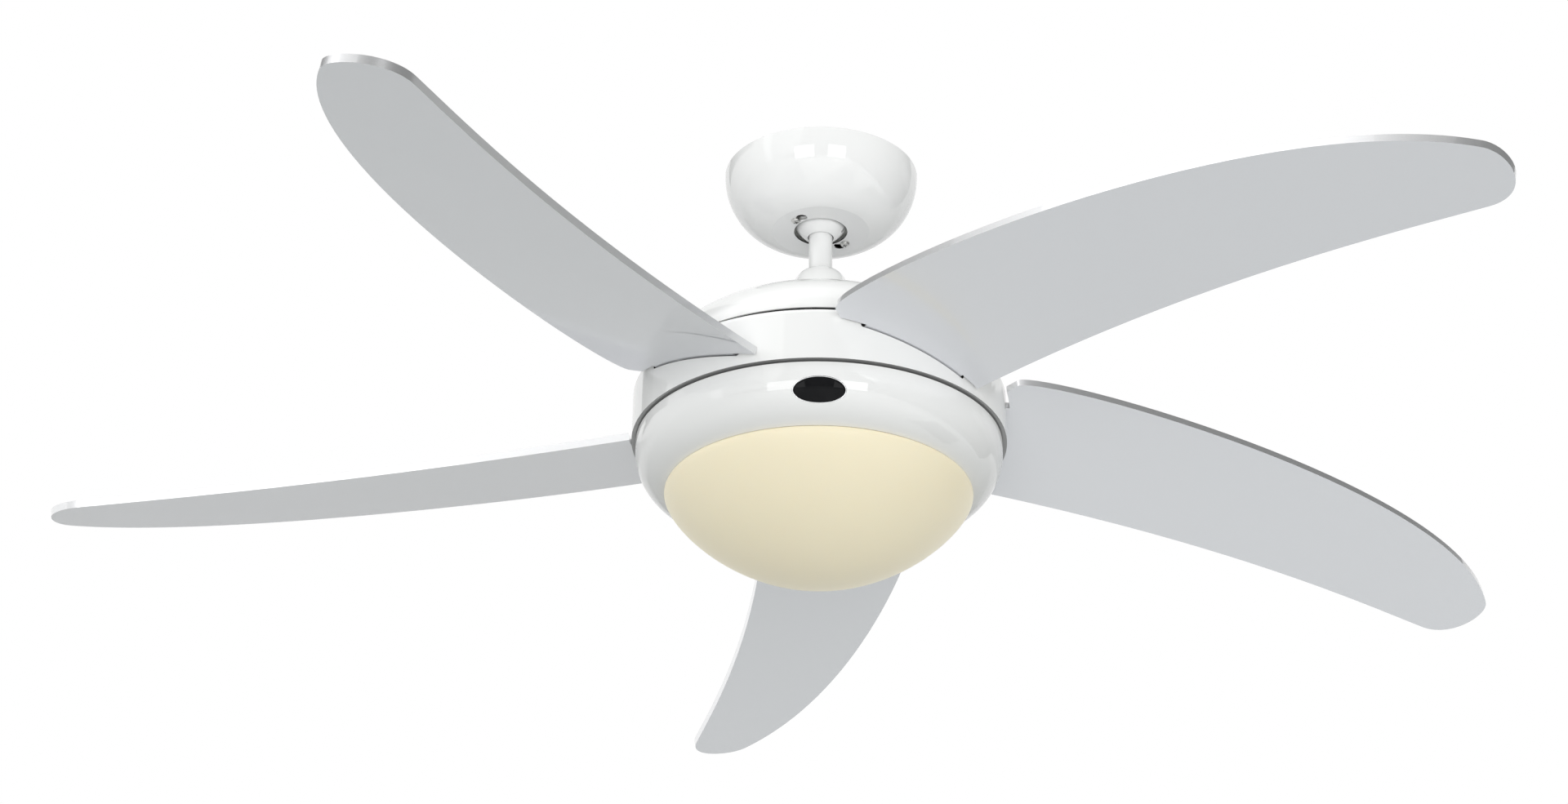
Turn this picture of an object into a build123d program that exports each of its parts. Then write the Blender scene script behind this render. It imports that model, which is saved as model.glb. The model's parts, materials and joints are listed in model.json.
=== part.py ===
"""Ceiling fan with light: five swept blades, a ball hanger, an outer-rotor motor and a twist-lock glass bowl.

Millimetres. The ceiling is the plane z = 0, the fan hangs below it and the fan's axis is Z.
Heights are given as levels on Z, so everything below the ceiling is negative.
"""

from build123d import *
from math import acos, asin, atan2, cos, degrees, pi, radians, sin, sqrt
import os

os.makedirs("parts", exist_ok=True)

# ---- Driving dimensions ----

# Canopy and hanger
canopy_radius = 82.0
canopy_height = 53.0
canopy_core_radius = 34.0
canopy_flat_radius = 41.0
canopy_wall = 1.2
canopy_hole_radius = 22.6
keyhole_circle = 28.0
keyhole_angle = 43.0
keyhole_turn = 12.5
keyhole_width = 4.6
keyhole_end_radius = 4.8
canopy_screw_head_radius = 3.9
canopy_screw_length = 8.0
bracket_sheet = 2.5
bracket_width = 46.0
bracket_half_span = 29.5
bracket_play = 0.25
foot_half_span = 72.0
foot_corner = 8.0
slot_spacing = 104.0
slot_width = 6.0
slot_length = 14.0
ball_radius = 23.5
ball_level = -38.5
ball_top_cut = 14.5
ball_mouth_radius = 11.0
seat_wall = 1.7
seat_band = 4.0
seat_drop = 4.5
seat_play = 0.5
notch_play = 1.0
tab_width = 5.5
tab_depth = 4.5
tab_play = 1.5
running_clearance = 0.05
clearance = 0.3

# Downrod and motor coupling
rod_radius = 10.0
rod_wall = 1.5
rod_top = -18.0
rod_bottom = -136.0
collar_wall = 5.0
collar_top = -98.0
coupling_cover_top = -94.0
coupling_cover_radius = 28.0
coupling_cover_mouth = 12.0
coupling_cover_height = 42.0
rod_hole_play = 0.2
coupling_flange_radius = 34.0
coupling_flange_thickness = 4.0
pin_radius = 3.0
clevis_radius = 4.0
clevis_level = -116.0

# Top cover
blade_level = -236.0
cover_radius = 141.0
cover_rim_rise = 31.0
cover_dome_height = 69.0
cover_flat_radius = 40.0
cover_hole_radius = 17.0
cover_wall = 1.5
cover_screw_circle = 21.5
cover_screw_count = 4
cover_screw_length = 8.0

# Rotating shell
shell_radius = 153.0
shell_rise = 24.0
shell_drop = 20.5
shell_wall = 1.6
shell_shoulder = 5.0
shell_lip = 5.0
shell_lip_width = 7.0
shell_inner_radius = 94.5
shell_boss_inset = 3.5
shell_boss_radius = 4.5

# Blades
blade_count = 5
first_blade_angle = -60.7
blade_pitch = 13.0
blade_thickness = 6.0
blade_length = 635.0
blade_sweep = 158.5
blade_root_gap = 3.0

# Corners and pulls of a blade's curved outline: its high side leads outward, its low side trails
root_sink = 3.0
high_root_side = 70.0
high_lead_out = 12.0
high_lead_side = 89.0
high_pull_in = 77.0
high_pull_side = 9.8
tip_turn = 20.5
tip_pull_in = 12.2
tip_pull_side = 57.2
low_tip_in = 44.5
low_tip_side = 43.7
low_turn = 77.3
low_pull_out = 226.0
low_pull_side = 108.7
low_root_side = 68.2
low_back_length = 15.0

# Blade tongues and the slots they pass through
tongue_length = 35.0
tongue_high = 42.0
tongue_low = 48.0
tongue_corner = 8.0
slot_end_gap = 3.0
slot_gap_below = 1.0
slot_gap_above = 0.6
slot_corner = 2.0

# Blade holders, measured out along the blade's mounting axis
holder_thickness = 3.0
holder_start = 60.0
holder_gap = 11.4
holder_lap = 24.0
holder_twist = 12.0
holder_inner_width = 34.0
holder_outer_width = 68.0
holder_offset = 3.0
holder_screw_distance = 72.0
holder_screw_side = 9.0

# Motor
bell_radius = 86.0
bell_wall = 3.0
bell_floor = 2.5
motor_height = 50.0
bell_hub_wall = 4.0
bell_opening_radius = 12.0
bell_boss_radius = 5.0
bell_boss_stand = 1.5
cooling_circle = 44.0
cooling_length = 26.0
cooling_width = 7.0
shaft_radius = 8.5
shaft_bore_radius = 5.0
shaft_tail = 12.0
window_length = 12.0
window_width = 5.0
window_drop = 12.0
bearing_radius = 20.0
bearing_width = 12.0
bearing_ball_radius = 3.4
bearing_ball_count = 8
race_wall = 2.9
stack_height = 16.0
stator_radius = 65.4
air_gap = 0.6
slot_count = 16
tooth_width = 7.0
stator_hub_radius = 33.0
tooth_tip = 5.4
coil_thickness = 2.6
coil_overhang = 4.6
coil_root_gap = 2.0
coil_tip_gap = 1.0

# Light housing
housing_radius = 149.5
housing_gap = 1.6
housing_straight = 8.0
housing_wall = 1.5
housing_opening_radius = 123.6
housing_depth = 42.0
housing_flange_width = 16.0
plate_inset = 9.5
plate_thickness = 1.5
vent_circle = 96.0
vent_count = 6
vent_length = 34.0
vent_width = 14.0
nut_radius = 14.0
nut_height = 5.0
dimple_reach = 3.2
dimple_radius = 2.2
dimple_root = 0.8
dimple_rise = 4.6
neck_start = 1.0
neck_height = 9.0
lock_turn = 30.0

# Glass bowl
glass_play = 0.4
glass_neck_step = 4.8
glass_bulge = 12.3
glass_bottom_pull = 41.6
glass_side_pull = 1.2
glass_depth = 71.5
glass_wall = 3.0
flange_play = 1.0
glass_flange_thickness = 3.0
glass_flat_cut = 3.2
glass_flat_width = 60.0
glass_gap = 0.4
flange_gap = 0.5

# Lamps
lamp_level = -294.0
lamp_socket_radius = 17.0
lamp_socket_length = 34.0
socket_corner = 4.0
socket_floor = 6.0
bulb_cap_radius = 13.0
bulb_contact_radius = 9.0
cap_taper = 2.5
cap_play = 0.6
cap_seat = 0.5
bulb_neck_angle = 40.0
lamp_strap_half_width = 16.0
lamp_strap_sheet = 1.5
lamp_strap_foot = 12.0
lamp_strap_width = 26.0
strap_margin = 3.0
bulb_radius = 22.5
bulb_length = 48.0

# Run capacitor
capacitor_place = 62.0
capacitor_length = 38.0
capacitor_width = 19.0
capacitor_height = 28.0
capacitor_corner = 3.0

# Screws
small_screw_radius = 1.95
small_hole_radius = 2.05
blade_screw_radius = 2.4
blade_hole_radius = 2.55
small_head_radius = 3.6
small_head_height = 2.2
blade_head_radius = 4.4
blade_head_height = 2.4
shell_screw_length = 13.0

# ---- Levels and places that follow from them ----

canopy_floor = -canopy_height + canopy_wall
bracket_floor = canopy_floor + bracket_play
cover_rim = blade_level + cover_rim_rise
shell_top = blade_level + shell_rise
shell_bottom = blade_level - shell_drop
shell_boss_circle = shell_inner_radius + shell_boss_inset
root_radius = shell_radius + blade_root_gap
tongue_start = shell_radius - tongue_length
holder_end = shell_radius - shell_wall - holder_gap
holder_bend_end = holder_end - holder_lap
holder_bend_start = holder_bend_end - holder_twist
holder_top = blade_level + blade_thickness + holder_thickness
motor_bottom = holder_top
motor_top = motor_bottom + motor_height
motor_middle = (motor_bottom + motor_top) / 2
housing_top = shell_bottom - housing_gap
plate_radius = housing_radius - plate_inset
housing_bottom = housing_top - housing_depth
plate_top = housing_top - housing_wall
plate_bottom = plate_top - plate_thickness
dimple_level = housing_bottom + dimple_rise
glass_radius = housing_opening_radius - glass_play
glass_neck_radius = housing_opening_radius - glass_neck_step
glass_flange_radius = housing_opening_radius - flange_play
glass_flat_distance = glass_flange_radius - glass_flat_cut
strap_screw_place = lamp_strap_half_width + lamp_strap_foot / 2


def cover_level(radius, wall=0.0):
    """Level of the top cover's dome at a radius, on its outer face or a wall inside it."""
    share = radius / (cover_radius - wall)
    return cover_rim + (cover_dome_height - wall) * sqrt(1 - share**2)


cover_flat_level = cover_level(cover_flat_radius)
coupling_flange_top = cover_flat_level - cover_wall
shaft_top = coupling_flange_top - coupling_flange_thickness
shaft_bottom = plate_bottom - shaft_tail

blade_angles = [first_blade_angle + index * 360 / blade_count for index in range(blade_count)]


def polar(radius, angle):
    """Point at a radius and an angle in degrees."""
    return (radius * cos(radians(angle)), radius * sin(radians(angle)))


def radial_plane(angle):
    """Upright plane through the fan's axis: X out along an angle, Y up."""
    return Plane(origin=(0, 0, 0), x_dir=(*polar(1, angle), 0), z_dir=(*polar(1, angle - 90), 0))


def blade_plane(angle, pitch=blade_pitch):
    """Plane of a blade's lower face: X out along its mounting axis, Y against the clock, Z up through it."""
    turn = radians(angle)
    tilt = radians(pitch)
    return Plane(
        origin=(0, 0, blade_level),
        x_dir=(cos(turn), sin(turn), 0),
        z_dir=(-sin(turn) * sin(tilt), cos(turn) * sin(tilt), cos(tilt)),
    )


def section_plane(angle, distance, pitch=blade_pitch):
    """Plane across a blade's mounting axis at a distance from the fan's axis: X against the clock, Y up."""
    base = blade_plane(angle, pitch)
    return Plane(origin=base.from_local_coords((distance, 0, 0)), x_dir=base.y_dir, z_dir=base.x_dir)


# ---- Hanger bracket: a hat-shaped strap with a ball seat and two slotted feet ----

bracket_inner = bracket_half_span - bracket_sheet
seat_top = ball_level - seat_drop
seat_under = seat_top - seat_band
seat_bore = ball_radius + seat_play
tab_reach = ball_radius - tab_depth

with BuildPart() as hanger_bracket:
    with BuildSketch(Plane.XZ):
        with BuildLine():
            Polyline(
                (0, bracket_floor),
                (bracket_half_span, bracket_floor),
                (bracket_half_span, -bracket_sheet),
                (foot_half_span, -bracket_sheet),
                (foot_half_span, 0),
                (bracket_inner, 0),
                (bracket_inner, bracket_floor + bracket_sheet),
                (0, bracket_floor + bracket_sheet),
                close=True,
            )
        make_face()
        mirror(about=Plane.YZ)
    extrude(amount=bracket_width / 2, both=True)
    with BuildSketch(Plane.XY.offset(bracket_floor)):
        Circle(seat_bore + seat_wall)
    extrude(amount=seat_top - bracket_floor)
    with BuildSketch(Plane.XY.offset(bracket_floor)):
        Circle(seat_bore)
    extrude(amount=seat_under - bracket_floor, mode=Mode.SUBTRACT)
    with Locations((0, 0, ball_level)):
        Sphere(ball_radius + running_clearance, mode=Mode.SUBTRACT)
    with BuildSketch(Plane.XY.offset(bracket_floor)):
        with Locations((0, -bracket_width / 2)):
            Rectangle(2 * (rod_radius + notch_play), bracket_width)
    extrude(amount=seat_top - bracket_floor, mode=Mode.SUBTRACT)
    with BuildSketch(Plane.XY):
        with Locations((-slot_spacing / 2, 0), (slot_spacing / 2, 0)):
            SlotOverall(slot_length, slot_width)
    extrude(amount=-bracket_sheet, mode=Mode.SUBTRACT)
    with BuildSketch(Plane.XY.offset(bracket_floor)):
        with PolarLocations(keyhole_circle, 2, start_angle=keyhole_angle):
            Circle(small_hole_radius)
    extrude(amount=bracket_sheet, mode=Mode.SUBTRACT)
    foot_corners = hanger_bracket.edges().filter_by(Axis.Z).group_by(Axis.X)
    fillet(foot_corners[0] + foot_corners[-1], radius=foot_corner)
    # The tab that keeps the ball from turning
    with BuildSketch(Plane.XY.offset(ball_level - bracket_sheet / 2)):
        with Locations(((tab_reach + bracket_inner) / 2, 0)):
            Rectangle(bracket_inner - tab_reach, tab_width)
    extrude(amount=bracket_sheet)

hanger_bracket.part.label = "hanger_bracket"
export_step(hanger_bracket.part, "parts/hanger_bracket.step")

# ---- Canopy: a spun bowl with a flat bottom, a ball opening and two keyholes ----


def bowl_profile(wall):
    """Half section of the canopy's bowl, a wall's thickness inside its outer face."""
    depth = canopy_height - wall
    reach = canopy_radius - wall - canopy_core_radius
    flat_turn = degrees(acos((canopy_flat_radius - canopy_core_radius) / reach))
    fall = depth / sin(radians(flat_turn))
    with BuildSketch(Plane.XZ) as profile:
        with BuildLine():
            Line((0, 0), (canopy_radius - wall, 0))
            centre = (canopy_core_radius, 0)
            side = EllipticalCenterArc(centre, reach, fall, start_angle=0, arc_size=-flat_turn)
            Polyline(side @ 1, (0, -depth), (0, 0))
        make_face()
    return profile.sketch


with BuildPart() as canopy:
    add(bowl_profile(0))
    revolve(axis=Axis.Z)
    add(bowl_profile(canopy_wall))
    revolve(axis=Axis.Z, mode=Mode.SUBTRACT)
    with BuildSketch(Plane.XY.offset(-canopy_height)):
        Circle(canopy_hole_radius)
        for start in (keyhole_angle, keyhole_angle + 180):
            with BuildLine(mode=Mode.PRIVATE) as track:
                CenterArc((0, 0), keyhole_circle, start, keyhole_turn)
            SlotArc(track.edge(), keyhole_width)
            with Locations(polar(keyhole_circle, start + keyhole_turn)):
                Circle(keyhole_end_radius)
    extrude(amount=canopy_wall, mode=Mode.SUBTRACT)

canopy.part.label = "canopy"
export_step(canopy.part, "parts/canopy.step")


def screw(plane, head_radius, head_height, shank_radius, shank_length):
    """A pan-head screw with its head's seat on the plane, the head on the plane's near side."""
    with BuildPart(mode=Mode.PRIVATE) as piece:
        with BuildSketch(plane):
            Circle(head_radius)
        extrude(amount=head_height)
        fillet(piece.faces().sort_by(Axis(plane.origin, plane.z_dir))[-1].edges(), radius=head_height * 0.6)
        with BuildSketch(plane):
            Circle(shank_radius)
        extrude(amount=-shank_length)
    return piece.part


def small_screw(plane, length):
    """The pan-head screw used wherever sheet metal is joined."""
    return screw(plane, small_head_radius, small_head_height, small_screw_radius, length)


def facing_down(x, y, level):
    """Plane at a point that faces the floor."""
    return Plane(origin=(x, y, level), x_dir=(1, 0, 0), z_dir=(0, 0, -1))


def facing_up(x, y, level):
    """Plane at a point that faces the ceiling."""
    return Plane(origin=(x, y, level), x_dir=(1, 0, 0), z_dir=(0, 0, 1))


with BuildPart() as canopy_screws:
    for start in (keyhole_angle, keyhole_angle + 180):
        x, y = polar(keyhole_circle, start)
        seat = facing_down(x, y, -canopy_height)
        add(screw(seat, canopy_screw_head_radius, blade_head_height, small_screw_radius, canopy_screw_length))

canopy_screws.part.label = "canopy_screws"
export_step(canopy_screws.part, "parts/canopy_screws.step")

# ---- Terminal block on the bracket's left wall ----

block_depth = 11.0
block_length = 34.0
block_height = 16.0
block_level = -22.0
block_wire_radius = 2.6
block_screw_radius = 1.6
block_screw_depth = 3.0
block_ways = 3

with BuildPart() as terminal_block:
    with BuildSketch(Plane.YZ.offset(-bracket_half_span)):
        with Locations((0, block_level)):
            Rectangle(block_length, block_height)
    extrude(amount=-block_depth)
    with BuildSketch(Plane.XY.offset(block_level + block_height / 2)):
        with Locations((-bracket_half_span - block_depth / 2, 0)):
            with GridLocations(0, block_length / block_ways, 1, block_ways):
                Circle(block_wire_radius)
    extrude(amount=-block_height, mode=Mode.SUBTRACT)
    with BuildSketch(Plane.YZ.offset(-bracket_half_span - block_depth)):
        with Locations((0, block_level)):
            with GridLocations(block_length / block_ways, block_height / 2, block_ways, 2):
                Circle(block_screw_radius)
    extrude(amount=block_screw_depth, mode=Mode.SUBTRACT)

terminal_block.part.label = "terminal_block"
export_step(terminal_block.part, "parts/terminal_block.step")

# ---- Hanger ball: sits in the bracket's seat, held on the rod by a cross pin ----

pin_rise = 10.5
pin_length = 38.0
pin_chamfer = 0.8
ball_screw_drop = 2.0
ball_screw_length = 9.0
mouth_depth = 5.0
pin_level = ball_level + pin_rise
ball_screw_level = ball_level - ball_screw_drop
mouth_level = ball_level - sqrt(ball_radius**2 - ball_mouth_radius**2)

with BuildPart() as hanger_ball:
    with Locations((0, 0, ball_level)):
        Sphere(ball_radius)
    split(bisect_by=Plane.XY.offset(ball_level + ball_top_cut), keep=Keep.BOTTOM)
    with BuildSketch(Plane.XY.offset(ball_level - ball_radius)):
        Circle(rod_radius + running_clearance)
    extrude(amount=2 * ball_radius, mode=Mode.SUBTRACT)
    with BuildSketch(Plane.XY.offset(ball_level - ball_radius)):
        Circle(ball_mouth_radius)
    extrude(amount=mouth_level + mouth_depth - ball_level + ball_radius, mode=Mode.SUBTRACT)
    with BuildSketch(Plane.XZ):
        with Locations((0, pin_level)):
            Circle(pin_radius + running_clearance)
        with Locations((0, pin_level + ball_radius / 2)):
            Rectangle(2 * (pin_radius + running_clearance), ball_radius)
    extrude(amount=ball_radius, both=True, mode=Mode.SUBTRACT)
    with BuildSketch(Plane.XY.offset(ball_level)):
        with Locations((tab_reach - tab_play + ball_radius / 2, 0)):
            Rectangle(ball_radius, tab_width + 2 * clearance)
    extrude(amount=ball_radius, both=True, mode=Mode.SUBTRACT)
    with BuildSketch(Plane.XZ):
        with Locations((0, ball_screw_level)):
            Circle(small_hole_radius)
    extrude(amount=ball_radius, mode=Mode.SUBTRACT)

hanger_ball.part.label = "hanger_ball"
export_step(hanger_ball.part, "parts/hanger_ball.step")

with BuildPart() as ball_pin:
    with BuildSketch(Plane.XZ):
        with Locations((0, pin_level)):
            Circle(pin_radius)
    extrude(amount=pin_length / 2, both=True)
    chamfer(ball_pin.faces().filter_by(Axis.Y).edges(), length=pin_chamfer)

ball_pin.part.label = "ball_pin"
export_step(ball_pin.part, "parts/ball_pin.step")

with BuildPart() as ball_set_screw:
    with BuildSketch(Plane.XZ.offset(rod_radius)):
        with Locations((0, ball_screw_level)):
            Circle(small_screw_radius)
    extrude(amount=ball_screw_length)

ball_set_screw.part.label = "ball_set_screw"
export_step(ball_set_screw.part, "parts/ball_set_screw.step")

# ---- Downrod ----

with BuildPart() as downrod:
    with BuildSketch(Plane.XY.offset(rod_bottom)):
        Circle(rod_radius)
        Circle(rod_radius - rod_wall, mode=Mode.SUBTRACT)
    extrude(amount=rod_top - rod_bottom)
    with BuildSketch(Plane.XZ):
        with Locations((0, pin_level)):
            Circle(pin_radius + running_clearance)
    extrude(amount=rod_radius, both=True, mode=Mode.SUBTRACT)
    with BuildSketch(Plane.YZ):
        with Locations((0, clevis_level)):
            Circle(clevis_radius + running_clearance)
    extrude(amount=rod_radius, both=True, mode=Mode.SUBTRACT)

downrod.part.label = "downrod"
export_step(downrod.part, "parts/downrod.step")

# ---- Motor coupling: a collar for the rod above a ribbed flange, and a boss for the motor's shaft below ----

collar_radius = rod_radius + collar_wall
boss_gap = 10.0
rod_screw_drop = 12.0
rod_screw_stand = 1.5
rib_thickness = 3.0
rib_inset = 2.0
rib_overlap = 1.0
boss_bottom = motor_top + boss_gap
set_screw_level = clevis_level - rod_screw_drop

with BuildPart() as motor_coupling:
    with BuildSketch(Plane.XY.offset(boss_bottom)):
        Circle(collar_radius)
    extrude(amount=collar_top - boss_bottom)
    with BuildSketch(Plane.XY.offset(shaft_top)):
        Circle(coupling_flange_radius)
    extrude(amount=coupling_flange_thickness)
    for angle in (45, 135, 225, 315):
        with BuildSketch(radial_plane(angle)):
            with BuildLine():
                Polyline(
                    (collar_radius - rib_overlap, shaft_top),
                    (coupling_flange_radius - rib_inset, shaft_top),
                    (collar_radius, boss_bottom + rib_inset),
                    (collar_radius - rib_overlap, boss_bottom + rib_inset),
                    close=True,
                )
            make_face()
        extrude(amount=rib_thickness / 2, both=True)
    with BuildSketch(Plane.XY.offset(rod_bottom)):
        Circle(rod_radius + running_clearance)
    extrude(amount=collar_top - rod_bottom, mode=Mode.SUBTRACT)
    with BuildSketch(Plane.XY.offset(boss_bottom)):
        Circle(shaft_radius)
    extrude(amount=shaft_top - boss_bottom, mode=Mode.SUBTRACT)
    with BuildSketch(Plane.XY.offset(boss_bottom)):
        Circle(shaft_bore_radius)
    extrude(amount=collar_top - boss_bottom, mode=Mode.SUBTRACT)
    with BuildSketch(Plane.YZ):
        with Locations((0, clevis_level)):
            Circle(clevis_radius + running_clearance)
    extrude(amount=collar_radius, both=True, mode=Mode.SUBTRACT)
    with BuildSketch(Plane.XZ):
        with Locations((0, set_screw_level)):
            Circle(small_hole_radius)
    extrude(amount=collar_radius, both=True, mode=Mode.SUBTRACT)
    with BuildSketch(Plane.XY.offset(shaft_top)):
        with PolarLocations(cover_screw_circle, cover_screw_count):
            Circle(small_hole_radius)
    extrude(amount=coupling_flange_thickness, mode=Mode.SUBTRACT)

motor_coupling.part.label = "motor_coupling"
export_step(motor_coupling.part, "parts/motor_coupling.step")

clevis_tail = 5.0
clevis_head = 2.0
clip_wire = 0.8
clip_play = 0.3
clip_place = collar_radius + clevis_head
clevis_length = 2 * collar_radius + clevis_tail

with BuildPart() as clevis_pin:
    with BuildSketch(Plane.YZ.offset(-collar_radius)):
        with Locations((0, clevis_level)):
            Circle(clevis_radius)
    extrude(amount=clevis_length)
    with BuildSketch(Plane.YZ.offset(-collar_radius)):
        with Locations((0, clevis_level)):
            Circle(clevis_radius + clevis_head)
    extrude(amount=-clevis_head)
    with BuildSketch(Plane.XY.offset(clevis_level)):
        with Locations((clip_place, 0)):
            Circle(clip_wire + clip_play)
    extrude(amount=clevis_radius, both=True, mode=Mode.SUBTRACT)

clevis_pin.part.label = "clevis_pin"
export_step(clevis_pin.part, "parts/clevis_pin.step")

# Hairpin clip: one straight leg through the end of the clevis pin, one leg outside it
clip_leg = 1.4
clip_top = clevis_level + clevis_radius + 5.0
clip_end = clevis_level - clevis_radius
clip_loop = 2.4

with BuildPart() as hairpin_clip:
    with BuildLine() as clip_path:
        FilletPolyline(
            (clip_place, 0, clip_end - 3),
            (clip_place, 0, clip_top),
            (clip_place, clip_loop + 0.8, clip_top + clip_loop + 1.6),
            (clip_place, clip_loop + clevis_radius, clip_top),
            (clip_place, clip_leg + clevis_radius, clip_end),
            radius=clip_loop,
        )
    with BuildSketch(Plane(origin=clip_path.line @ 0, z_dir=clip_path.line % 0)):
        Circle(clip_wire)
    sweep(path=clip_path.line)

hairpin_clip.part.label = "hairpin_clip"
export_step(hairpin_clip.part, "parts/hairpin_clip.step")

with BuildPart() as rod_set_screws:
    for side in (-1, 1):
        with BuildSketch(Plane(origin=(0, side * rod_radius, set_screw_level), z_dir=(0, side, 0))):
            Circle(small_screw_radius)
        extrude(amount=collar_wall + rod_screw_stand)

rod_set_screws.part.label = "rod_set_screws"
export_step(rod_set_screws.part, "parts/rod_set_screws.step")

# ---- Coupling cover: a small dome that hides the coupling ----

cover_seat = cover_level(coupling_cover_radius - canopy_wall)


def small_dome_profile(wall):
    """Half section of the coupling cover's dome, a wall's thickness inside its outer face."""
    base = coupling_cover_top - coupling_cover_height
    with BuildSketch(Plane.XZ) as profile:
        with BuildLine():
            Line((0, cover_flat_level), (coupling_cover_radius - wall, cover_flat_level))
            Line((coupling_cover_radius - wall, cover_flat_level), (coupling_cover_radius - wall, base))
            EllipticalCenterArc(
                (coupling_cover_mouth, base),
                coupling_cover_radius - wall - coupling_cover_mouth,
                coupling_cover_height - wall,
                start_angle=0,
                arc_size=90,
            )
            Line((coupling_cover_mouth, coupling_cover_top - wall), (0, coupling_cover_top - wall))
            Line((0, coupling_cover_top - wall), (0, cover_flat_level))
        make_face()
    return profile.sketch


with BuildPart() as coupling_cover:
    add(small_dome_profile(0))
    revolve(axis=Axis.Z)
    add(small_dome_profile(canopy_wall))
    revolve(axis=Axis.Z, mode=Mode.SUBTRACT)
    with BuildSketch(Plane.XY.offset(coupling_cover_top)):
        Circle(rod_radius + rod_hole_play)
    extrude(amount=-2 * canopy_wall, mode=Mode.SUBTRACT)

coupling_cover.part.label = "coupling_cover"
export_step(coupling_cover.part, "parts/coupling_cover.step")

# ---- Top cover: the fixed dome over the motor ----


def dome_profile(wall):
    """Half section of the top cover's dome, a wall's thickness inside its outer face."""
    flat = cover_flat_level - wall
    turn = degrees(asin((flat - cover_rim) / (cover_dome_height - wall)))
    with BuildSketch(Plane.XZ) as profile:
        with BuildLine():
            Line((0, cover_rim), (cover_radius - wall, cover_rim))
            arc = EllipticalCenterArc(
                (0, cover_rim),
                cover_radius - wall,
                cover_dome_height - wall,
                start_angle=0,
                arc_size=turn,
            )
            Line(arc @ 1, (0, flat))
            Line((0, flat), (0, cover_rim))
        make_face()
    return profile.sketch


with BuildPart() as top_cover:
    add(dome_profile(0))
    revolve(axis=Axis.Z)
    add(dome_profile(cover_wall))
    revolve(axis=Axis.Z, mode=Mode.SUBTRACT)
    with BuildSketch(Plane.XY.offset(cover_flat_level)):
        Circle(cover_hole_radius)
        with PolarLocations(cover_screw_circle, cover_screw_count):
            Circle(small_hole_radius)
    extrude(amount=-cover_wall, mode=Mode.SUBTRACT)

top_cover.part.label = "top_cover"
export_step(top_cover.part, "parts/top_cover.step")

with BuildPart() as cover_screws:
    for index in range(cover_screw_count):
        x, y = polar(cover_screw_circle, index * 360 / cover_screw_count)
        add(small_screw(facing_up(x, y, cover_flat_level), cover_screw_length))

cover_screws.part.label = "cover_screws"
export_step(cover_screws.part, "parts/cover_screws.step")

# ---- Motor shaft: hollow, fixed, carries the light below the motor ----

with BuildPart() as motor_shaft:
    with BuildSketch(Plane.XY.offset(shaft_bottom)):
        Circle(shaft_radius)
        Circle(shaft_bore_radius, mode=Mode.SUBTRACT)
    extrude(amount=shaft_top - shaft_bottom)
    # Side window where the motor's leads leave the bore
    with BuildSketch(Plane.XZ):
        with Locations((0, motor_bottom - window_drop)):
            SlotOverall(window_length, window_width, rotation=90)
    extrude(amount=shaft_radius, mode=Mode.SUBTRACT)

motor_shaft.part.label = "motor_shaft"
export_step(motor_shaft.part, "parts/motor_shaft.step")

# ---- Stator: slotted core on the shaft with one coil on each tooth ----

slot_outer = stator_radius - tooth_tip
slot_mouth = 3.0
inner_gap = 2 * pi * stator_hub_radius / slot_count - tooth_width
outer_gap = 2 * pi * slot_outer / slot_count - tooth_width

with BuildSketch() as stator_slot:
    with BuildLine():
        Polyline(
            (stator_hub_radius, 0),
            (stator_hub_radius, inner_gap / 2),
            (slot_outer, outer_gap / 2),
            (slot_outer, slot_mouth / 2),
            (stator_radius + 1, slot_mouth / 2),
            (stator_radius + 1, 0),
            close=True,
        )
    make_face()
    mirror(about=Plane.XZ)

with BuildPart() as stator_core:
    with BuildSketch(Plane.XY.offset(motor_middle - stack_height / 2)):
        Circle(stator_radius)
        Circle(shaft_radius, mode=Mode.SUBTRACT)
        with PolarLocations(0, slot_count):
            add(stator_slot.sketch, mode=Mode.SUBTRACT)
    extrude(amount=stack_height)

stator_core.part.label = "stator_core"
export_step(stator_core.part, "parts/stator_core.step")

coil_play = 0.15
coil_start = stator_hub_radius + coil_root_gap
coil_end = stator_radius - tooth_tip - coil_tip_gap
coil_height = stack_height + 2 * coil_overhang

with BuildPart() as stator_coils:
    with PolarLocations((coil_start + coil_end) / 2, slot_count, start_angle=180 / slot_count):
        with Locations((0, 0, motor_middle)):
            Box(coil_end - coil_start, tooth_width + 2 * coil_thickness, coil_height)
            Box(2 * coil_end, tooth_width + 2 * coil_play, stack_height + coil_play, mode=Mode.SUBTRACT)

stator_coils.part.label = "stator_coils"
export_step(stator_coils.part, "parts/stator_coils.step")

# ---- Bearings: two of each race, and the balls between them ----

bearing_levels = (motor_bottom + bell_floor + bearing_width / 2, motor_top - bell_floor - bearing_width / 2)
ball_pitch_radius = (shaft_radius + bearing_radius) / 2
groove_radius = bearing_ball_radius + running_clearance

with BuildPart() as bearing_inner_races:
    for level in bearing_levels:
        with BuildSketch(Plane.XZ):
            with Locations((shaft_radius + race_wall / 2, level)):
                Rectangle(race_wall, bearing_width)
            with Locations((ball_pitch_radius, level)):
                Circle(groove_radius, mode=Mode.SUBTRACT)
        revolve(axis=Axis.Z)

bearing_inner_races.part.label = "bearing_inner_races"
export_step(bearing_inner_races.part, "parts/bearing_inner_races.step")

with BuildPart() as bearing_outer_races:
    for level in bearing_levels:
        with BuildSketch(Plane.XZ):
            with Locations((bearing_radius - race_wall / 2, level)):
                Rectangle(race_wall, bearing_width)
            with Locations((ball_pitch_radius, level)):
                Circle(groove_radius, mode=Mode.SUBTRACT)
        revolve(axis=Axis.Z)

bearing_outer_races.part.label = "bearing_outer_races"
export_step(bearing_outer_races.part, "parts/bearing_outer_races.step")

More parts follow.
